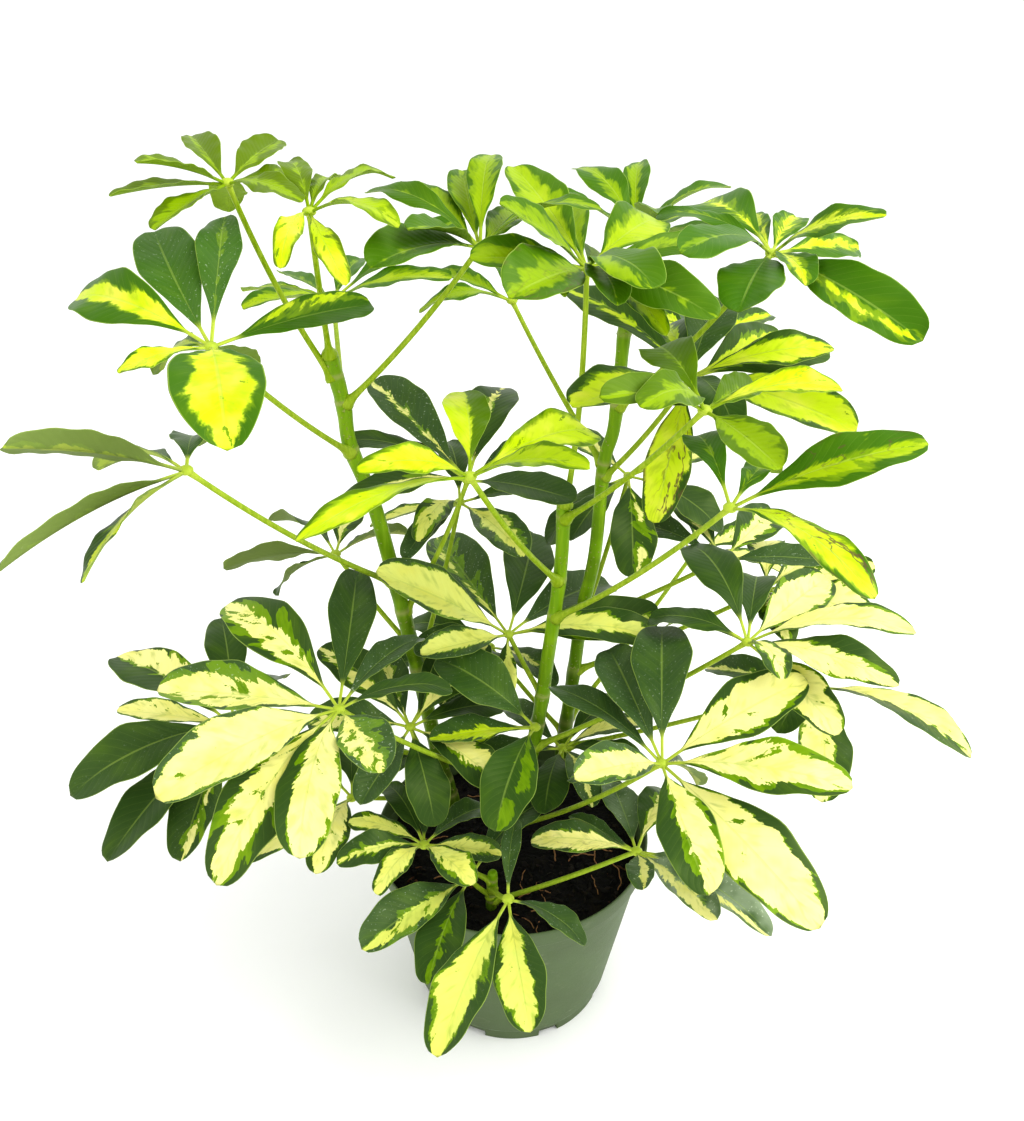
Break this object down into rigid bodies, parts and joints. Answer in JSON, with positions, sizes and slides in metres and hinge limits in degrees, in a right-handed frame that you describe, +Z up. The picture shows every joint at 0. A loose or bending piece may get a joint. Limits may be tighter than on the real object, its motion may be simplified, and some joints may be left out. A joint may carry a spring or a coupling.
{
  "type": "potted umbrella plant",
  "caption": "Variegated dwarf umbrella plant with upright green stems and palm-like whorls of yellow and green leaflets, growing in a round green plastic nursery pot of dark potting mix.",
  "frame": {"origin": "centre of the pot's floor, on the surface that the pot stands on", "axes": "+Z up along the pot's axis; the side with the most leaves looks towards -Y"},
  "size_m": [0.4734, 0.3904, 0.5139],
  "materials": {
    "pot": "matt sage green",
    "soil": "damp, crumbly, dark potting mix",
    "stem": "green living stem, satin",
    "leaf_young": "young lime-yellow leaf, satin",
    "leaf_mature": "mid-green and yellow leaf, satin",
    "leaf_old": "dark green and cream leaf, satin"
  },
  "bodies": {
    "root": {"pot": "pot", "soil": "soil", "stem_left": "stem", "stem_middle": "stem", "stem_right": "stem", "stem_front": "stem", "leaf_01": "leaf_old", "leaf_02": "leaf_old", "leaf_03": "leaf_old", "leaf_04": "leaf_mature", "leaf_05": "leaf_young", "leaf_06": "leaf_young", "leaf_07": "leaf_old", "leaf_08": "leaf_mature", "leaf_09": "leaf_mature", "leaf_10": "leaf_mature", "leaf_11": "leaf_young", "leaf_12": "leaf_young", "leaf_13": "leaf_mature", "leaf_14": "leaf_old", "leaf_15": "leaf_old", "leaf_16": "leaf_old", "leaf_17": "leaf_old", "leaf_18": "leaf_old", "leaf_19": "leaf_old", "leaf_20": "leaf_old", "leaf_21": "leaf_old", "leaf_22": "leaf_mature", "leaf_23": "leaf_mature", "leaf_24": "leaf_mature", "leaf_25": "leaf_old", "leaf_26": "leaf_old", "leaf_27": "leaf_old", "leaf_28": "leaf_old", "leaf_29": "leaf_old", "leaf_30": "leaf_old", "leaf_31": "leaf_old", "leaf_32": "leaf_old", "leaf_33": "leaf_old", "leaf_34": "leaf_old", "leaf_35": "leaf_old", "leaf_36": "leaf_old", "leaf_37": "leaf_old"}
  },
  "joints": []
}
